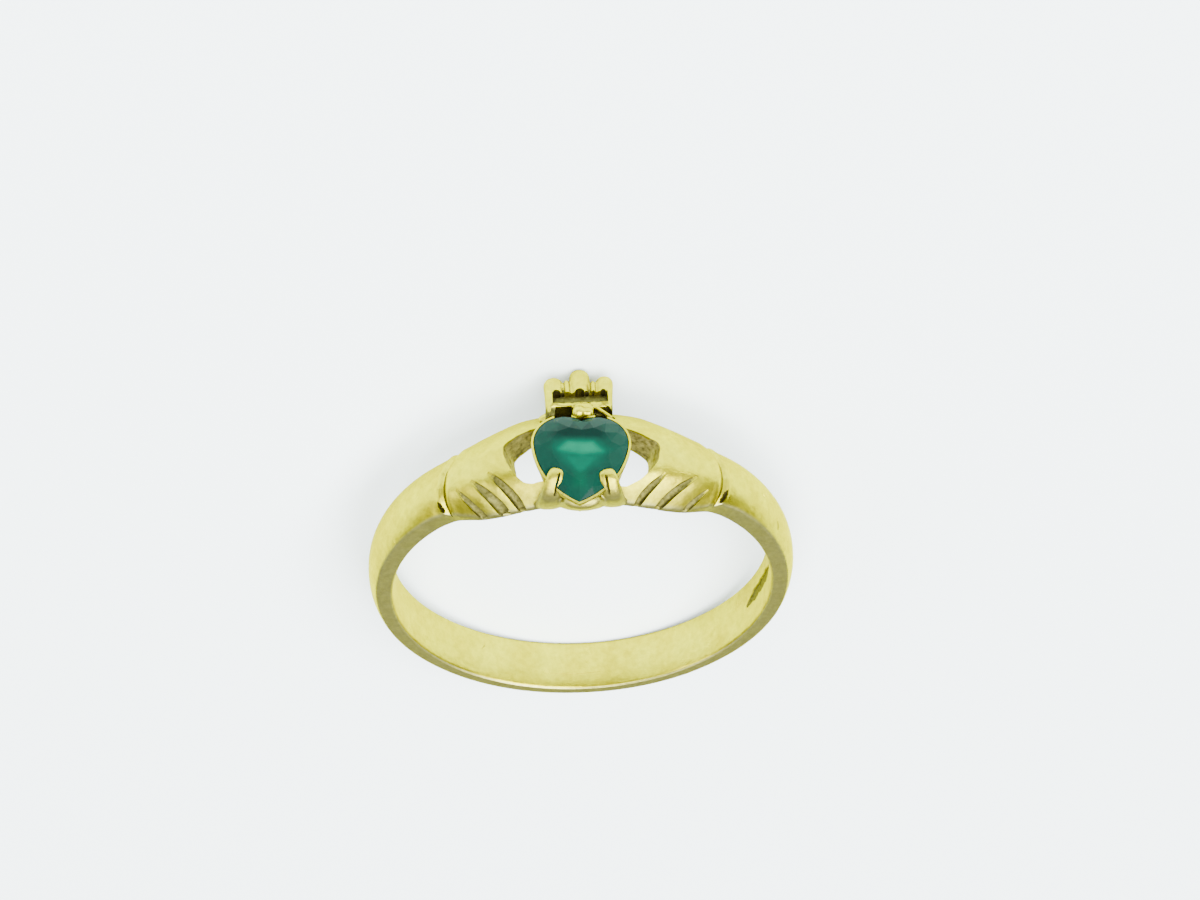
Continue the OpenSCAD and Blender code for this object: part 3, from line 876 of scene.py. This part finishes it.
def cut_stone():
    """The faceted heart, and how pale each facet looks from its painted reflection: those of the crown pale
    towards the lobes.
    """
    rim = heart(0, 7, 5)
    n = len(rim)
    half = n // 2
    towards = np.array([0, STONE_MIDDLE])
    table = towards + TABLE_SHARE * (rim[::2] - towards)
    middle = towards + MIDDLE_SHARE * (rim[1::2] - towards)
    waist = towards + WAIST_SHARE * (rim[1::2] - towards)
    flat = np.concatenate([table, middle, rim, rim, waist, [towards]])
    heights = [TABLE_Z] * half + [GIRDLE_Z + MIDDLE_H] * half + [GIRDLE_Z + GIRDLE_T / 2] * n
    heights += [GIRDLE_Z - GIRDLE_T / 2] * n + [GIRDLE_Z - WAIST_DEPTH] * half + [CULET_Z]
    points = np.column_stack([set_in_head(flat), heights])
    mids, upper, lower = half, 2 * half, 2 * half + n
    waists, tip = lower + n, lower + n + half
    faces = [list(range(half))]
    facet_reflection = [0.0]
    for i in range(half):
        after, before = (i + 1) % half, (i - 1) % half
        a, b, c = 2 * i, 2 * i + 1, (2 * i + 2) % n
        faces += [
            [i, after, mids + i],
            [i, mids + i, upper + a, mids + before],
            [mids + i, upper + b, upper + a],
            [mids + i, upper + c, upper + b],
            [upper + a, upper + b, lower + b, lower + a],
            [upper + b, upper + c, lower + c, lower + b],
            [lower + a, lower + b, waists + i],
            [lower + b, lower + c, waists + i],
            [lower + a, waists + i, tip, waists + before],
        ]
        # Painted reflections: the crown's facets paler towards the lobes, with a flicker from facet to facet.
        up = max(0.0, float(middle[i, 1])) / 2
        flicker = 0.12 * math.sin(5.3 * i + 1)
        facet_reflection += [0.30 * up + flicker, 0.75 * up + flicker, 0.95 * up - flicker, 0.60 * up + flicker]
        facet_reflection += [0.2, 0.2, flicker, -flicker, 0.0]
    return points, faces, facet_reflection


def within(flat, corners, soft):
    """How far places lie within a convex shape, from 0 outside to 1 inside, softly at its edge."""
    inside = np.full(len(flat), 9.0)
    corners = np.array(corners, float)
    for first, second in zip(corners, np.roll(corners, -1, axis=0)):
        edge = second - first
        edge /= np.linalg.norm(edge)
        inside = np.minimum(inside, (flat[:, 0] - first[0]) * edge[1] - (flat[:, 1] - first[1]) * edge[0])
    return np.clip(inside / soft + 0.5, 0, 1)


# The painted light and inner reflections that the stone's depth gathers, as soft shapes in the stone's
# own plane: the corners clockwise, the softness and the colour
SIDE_GREEN = (0.0015, 0.023, 0.0145)
# The green that the facets' painted reflections pale towards
FACET_REFLECTION_GREEN = (0.012, 0.036, 0.024)
PAINTED_INNER_LIGHT = [
    ([(-1.3, 1.0), (-0.85, 1.7), (0.75, 1.7), (1.15, 1.0), (0.8, 0.72), (-0.8, 0.72)],
     0.45, (0.001, 0.011, 0.0075)),
    ([(-1.25, 0.35), (-0.7, 0.75), (0.65, 0.75), (1.25, 0.3), (0.85, -0.35), (0.0, -1.0), (-0.75, -0.35)],
     0.4, (0.001, 0.038, 0.022)),
    ([(-0.95, 0.25), (-0.55, 0.62), (0.5, 0.62), (0.95, 0.15), (0.55, -0.15), (0.0, -0.02), (-0.6, -0.12)],
     0.26, (0.0, 0.086, 0.045)),
    ([(-0.6, -0.15), (0.65, -0.15), (0.0, -1.05)], 0.12, (0.001, 0.050, 0.028)),
    ([(-0.3, -0.9), (0.3, -0.9), (0.25, -1.6), (-0.25, -1.6)], 0.3, (0.001, 0.030, 0.016)),
]


def green_with_painted_light(points):
    """The stone's green with the painted light of its depth at these points."""
    c, s = math.cos(STONE_LEAN), math.sin(STONE_LEAN)
    x, y = points[:, 0] - STONE_X, points[:, 1] - STONE_Y
    flat = np.column_stack([x * c - y * s, x * s + y * c])
    colour = np.tile(np.array(SIDE_GREEN), (len(points), 1))
    for corners, soft, tint in PAINTED_INNER_LIGHT:
        share = within(flat, corners, soft)[:, None]
        colour = colour * (1 - share) + np.array(tint) * share
    return colour


def make_stone():
    """The cut stone, with its green, the painted light of its depth and the painted reflections of its facets
    on it.
    """
    points, faces, facet_reflection = cut_stone()
    stone = new_object("green_heart", points, faces)
    work = bmesh.new()
    work.from_mesh(stone.data)
    pale = work.faces.layers.float.new("pale")
    for face, value in zip(work.faces, facet_reflection):
        face[pale] = value
    bmesh.ops.recalc_face_normals(work, faces=work.faces)
    bmesh.ops.triangulate(work, faces=work.faces)
    for _ in range(4):
        long = [edge for edge in work.edges if edge.calc_length() > STONE_EDGE]
        bmesh.ops.subdivide_edges(work, edges=long, cuts=1, use_grid_fill=True)
        bmesh.ops.triangulate(work, faces=work.faces)
    work.to_mesh(stone.data)
    work.free()
    mesh = stone.data
    values = np.zeros(len(mesh.polygons))
    mesh.attributes["pale"].data.foreach_get("value", values)
    corners = np.zeros(len(mesh.loops), np.int64)
    mesh.loops.foreach_get("vertex_index", corners)
    share = np.repeat(values, 3)[:, None]
    colour = green_with_painted_light(coordinates(mesh))[corners]
    # Painted reflections turn facets with a positive share paler and those with a negative share darker.
    paler = colour * (1 - share) + np.array(FACET_REFLECTION_GREEN) * share
    darker = colour * (1 + 1.5 * share)
    colour = np.where(share > 0, paler, darker)
    layer = mesh.color_attributes.new("green_with_painted_light", "FLOAT_COLOR", "CORNER")
    layer.data.foreach_set("color", np.column_stack([colour, np.ones(len(colour))]).ravel())
    return laid(stone, False)


def plain_material(name):
    """A new material, its node tree and its shader."""
    material = bpy.data.materials.new(name)
    material.use_nodes = True
    tree = material.node_tree
    return material, tree, tree.nodes["Principled BSDF"]


def millimetres(tree):
    """Object coordinates in millimetres."""
    place = tree.nodes.new("ShaderNodeTexCoord")
    scale = tree.nodes.new("ShaderNodeMapping")
    scale.inputs["Scale"].default_value = (1000, 1000, 1000)
    tree.links.new(place.outputs["Object"], scale.inputs["Vector"])
    return scale.outputs["Vector"]


def put(node, values):
    """Sets a node's named inputs."""
    for name, value in values.items():
        node.inputs[name].default_value = value


def noise(tree, vector, scale, detail=3.0, roughness=0.5):
    """The value of a noise whose scale is in waves a millimetre."""
    made = tree.nodes.new("ShaderNodeTexNoise")
    put(made, {"Scale": scale, "Detail": detail, "Roughness": roughness})
    tree.links.new(vector, made.inputs["Vector"])
    return made.outputs["Fac"]


def ramp(tree, value, *stops):
    """A colour ramp through stops of a value and a colour."""
    made = tree.nodes.new("ShaderNodeValToRGB")
    elements = made.color_ramp.elements
    while len(elements) > 1:
        elements.remove(elements[-1])
    elements[0].position, elements[0].color = stops[0]
    for place, colour in stops[1:]:
        elements.new(place).color = colour
    tree.links.new(value, made.inputs["Fac"])
    return made.outputs["Color"]


def grey(value):
    """A grey colour."""
    return (value, value, value, 1)


def mixed(tree, share, first, second, blend="MIX"):
    """Two colours mixed by a share. Each of the three is a value or an output."""
    made = tree.nodes.new("ShaderNodeMix")
    made.data_type = "RGBA"
    made.blend_type = blend
    for socket, value in (("Factor", share), ("A", first), ("B", second)):
        target = [s for s in made.inputs if s.name == socket and s.enabled][0]
        if isinstance(value, (tuple, float, int)):
            target.default_value = value
        else:
            tree.links.new(value, target)
    return [s for s in made.outputs if s.enabled][0]


# The gold's colours where it is polished, and its painted shade on side faces, in hollows, on the openings'
# walls and in corners
GOLD_DARK = (0.42, 0.37, 0.003, 1)
GOLD_LIGHT = (0.50, 0.465, 0.014, 1)
GOLD_TINT = (0.92, 0.86, 0.03, 1)
SHADED_SIDE_GOLD = (0.42, 0.41, 0.13, 1)
HOLLOW_SHADE_AND_WEAR_DARK = (0.045, 0.043, 0.009, 1)
HOLLOW_SHADE_AND_WEAR_LIGHT = (0.12, 0.115, 0.03, 1)
WALL_SHADE_DARK = (0.14, 0.125, 0.03, 1)
WALL_SHADE_LIGHT = (0.50, 0.46, 0.14, 1)
CORNER_SHADE = (0.04, 0.03, 0.006, 1)


def gold_material():
    """Worn pale gold: clouded where polished, with painted shade on side faces, in hollows, on the openings'
    walls and in corners.
    """
    material, tree, shader = plain_material("worn_pale_gold_painted_shade")
    place = millimetres(tree)
    cloud = ramp(tree, noise(tree, place, 0.6, 5.0, 0.6), (0.35, GOLD_DARK), (0.62, GOLD_LIGHT))
    fine = ramp(tree, noise(tree, place, 3.5, 7.0, 0.7), (0.32, grey(0.70)), (0.66, grey(1.0)))
    colour = mixed(tree, 1.0, cloud, fine, "MULTIPLY")
    shade_and_wear = tree.nodes.new("ShaderNodeVertexColor")
    shade_and_wear.layer_name = "shade_and_wear"
    shares = tree.nodes.new("ShaderNodeSeparateColor")
    tree.links.new(shade_and_wear.outputs["Color"], shares.inputs["Color"])
    hollow, side, wall = shares.outputs["Red"], shares.outputs["Green"], shares.outputs["Blue"]
    # Olive painted shade on the side faces and the claws' feet.
    colour = mixed(tree, side, colour, mixed(tree, 1.0, SHADED_SIDE_GOLD, fine, "MULTIPLY"))
    # Dark painted shade in the hollows, which also darkens the worn mark inside the band.
    hollow_shade_and_wear = ramp(tree, noise(tree, place, 7.0, 5.0, 0.65), (0.35, HOLLOW_SHADE_AND_WEAR_DARK), (0.65, HOLLOW_SHADE_AND_WEAR_LIGHT))
    # Paler olive painted shade on the openings' walls.
    pale = ramp(tree, noise(tree, place, 4.0, 5.0, 0.65), (0.35, WALL_SHADE_DARK), (0.65, WALL_SHADE_LIGHT))
    colour = mixed(tree, hollow, colour, mixed(tree, wall, hollow_shade_and_wear, pale))
    # Painted shade in corners and creases, darkest where the ambient occlusion is strongest; these places are
    # also made rougher.
    corner = tree.nodes.new("ShaderNodeAmbientOcclusion")
    corner.inputs["Distance"].default_value = 0.0005
    corner.samples = 10
    corner_shade = ramp(tree, corner.outputs["AO"], (0.18, grey(0.92)), (0.45, grey(0.35)), (0.82, grey(0.0)))
    colour = mixed(tree, corner_shade, colour, CORNER_SHADE)
    tree.links.new(colour, shader.inputs["Base Color"])
    put(shader, {"Metallic": 1.0, "Specular Tint": GOLD_TINT})
    rough = ramp(tree, noise(tree, place, 1.6), (0.3, grey(0.27)), (0.7, grey(0.38)))
    rough = mixed(tree, side, rough, grey(0.42))
    rough = mixed(tree, hollow, rough, grey(0.6))
    rough = mixed(tree, corner_shade, rough, grey(0.65))
    tree.links.new(rough, shader.inputs["Roughness"])
    bump = tree.nodes.new("ShaderNodeBump")
    put(bump, {"Distance": 0.00005, "Strength": 0.75})
    tree.links.new(noise(tree, place, 1.8, 7.0, 0.55), bump.inputs["Height"])
    tree.links.new(bump.outputs["Normal"], shader.inputs["Normal"])
    return material


def stone_material():
    """The stone's surface over its green and the painted light of its depth and its facets."""
    material, tree, shader = plain_material("deep_green_stone")
    place = millimetres(tree)
    # The stone's green with its painted light and painted reflections.
    depth = tree.nodes.new("ShaderNodeVertexColor")
    depth.layer_name = "green_with_painted_light"
    cloud = ramp(tree, noise(tree, place, 1.4, 4.0, 0.6), (0.3, grey(0.82)), (0.7, grey(1.0)))
    tree.links.new(mixed(tree, 1.0, depth.outputs["Color"], cloud, "MULTIPLY"), shader.inputs["Base Color"])
    rough = ramp(tree, noise(tree, place, 6.0), (0.35, grey(0.10)), (0.7, grey(0.16)))
    tree.links.new(rough, shader.inputs["Roughness"])
    put(shader, {"IOR": 1.5, "Specular IOR Level": 0.025})
    return material


def make_floor():
    """The pale floor that the ring lies on."""
    size = 1.6
    corners = [(-size, -size, 0), (size, -size, 0), (size, size, 0), (-size, size, 0)]
    floor = new_object("floor", corners, [[0, 1, 2, 3]])
    material, tree, shader = plain_material("pale_floor")
    put(shader, {"Base Color": (0.85, 0.95, 0.97, 1), "Roughness": 0.85})
    floor.data.materials.append(material)


# The photograph's view of the upright ring: the angle between the view and the finger, the camera's roll,
# the ring's turn round the finger, and how far it lies to the camera's right, down and ahead
VIEW_ANGLE = math.radians(56.07)
VIEW_ROLL = math.radians(-3.26)
RING_TURN = math.radians(2.2)
VIEW_OFFSET = (-0.854, 5.32, 180.44)
LENS = 120.0
SENSOR = 36.0


def make_camera():
    """The camera that sees the upright ring as the photograph does, laid down with it."""
    cos_turn, sin_turn = math.cos(RING_TURN), math.sin(RING_TURN)
    cos_view, sin_view = math.cos(VIEW_ANGLE), math.sin(VIEW_ANGLE)
    cos_roll, sin_roll = math.cos(VIEW_ROLL), math.sin(VIEW_ROLL)
    right = np.array([cos_turn, 0, sin_turn])
    down = np.array([sin_turn * cos_view, -sin_view, -cos_turn * cos_view])
    ahead = np.array([sin_turn * sin_view, cos_view, -cos_turn * sin_view])
    right, down = cos_roll * right - sin_roll * down, sin_roll * right + cos_roll * down
    where = -np.array([right, down, ahead]).T @ np.array(VIEW_OFFSET)
    upright = np.eye(4)
    upright[:3] = np.column_stack([right, -down, -ahead, where])
    place = LAID_DOWN @ Matrix(upright.tolist())
    camera = linked("camera", bpy.data.cameras.new("camera"))
    camera.matrix_world = Matrix.LocRotScale(place.to_translation(), place.to_quaternion(), (1, 1, 1))
    camera.data.lens = LENS
    camera.data.sensor_width = SENSOR
    camera.data.clip_start = 0.005
    camera.data.clip_end = 10
    bpy.context.scene.camera = camera


# The studio's square lamps: name, place, what they point at, size and power
LAMPS = [
    ("top_box", (-0.1, -0.3, 0.75), (0, 0, 0), 1.0, 55.0),
    ("left_box", (-0.5, -0.5, 0.5), (0, 0, 0.005), 0.3, 7.0),
    ("right_box", (0.7, -0.3, 0.35), (0, 0, 0.005), 0.4, 4.0),
]


def add_light(name, place, aim, size, power):
    """A square lamp at a place, turned to its aim."""
    data = bpy.data.lights.new(name, "AREA")
    data.size = size
    data.energy = power
    lamp = linked(name, data)
    turn = (Vector(aim) - Vector(place)).to_track_quat("-Z", "Y")
    lamp.matrix_world = Matrix.LocRotScale(Vector(place), turn, (1, 1, 1))


def make_light():
    """The even light of the studio, and its lamps."""
    world = bpy.data.worlds.new("studio")
    bpy.context.scene.world = world
    world.use_nodes = True
    put(world.node_tree.nodes["Background"], {"Color": (0.92, 0.96, 1.0, 1), "Strength": 0.65})
    for lamp in LAMPS:
        add_light(*lamp)


make_camera()
make_floor()
make_light()
gold = make_gold()
gold.data.materials.clear()
gold.data.materials.append(gold_material())
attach(gold, "root")
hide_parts("ring_body")
stone = make_stone()
stone.data.materials.append(stone_material())
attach(stone, "root")
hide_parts("heart_stone")
print("triangles", {p.name: sum(len(f.vertices) - 2 for f in p.data.polygons) for p in (gold, stone)})
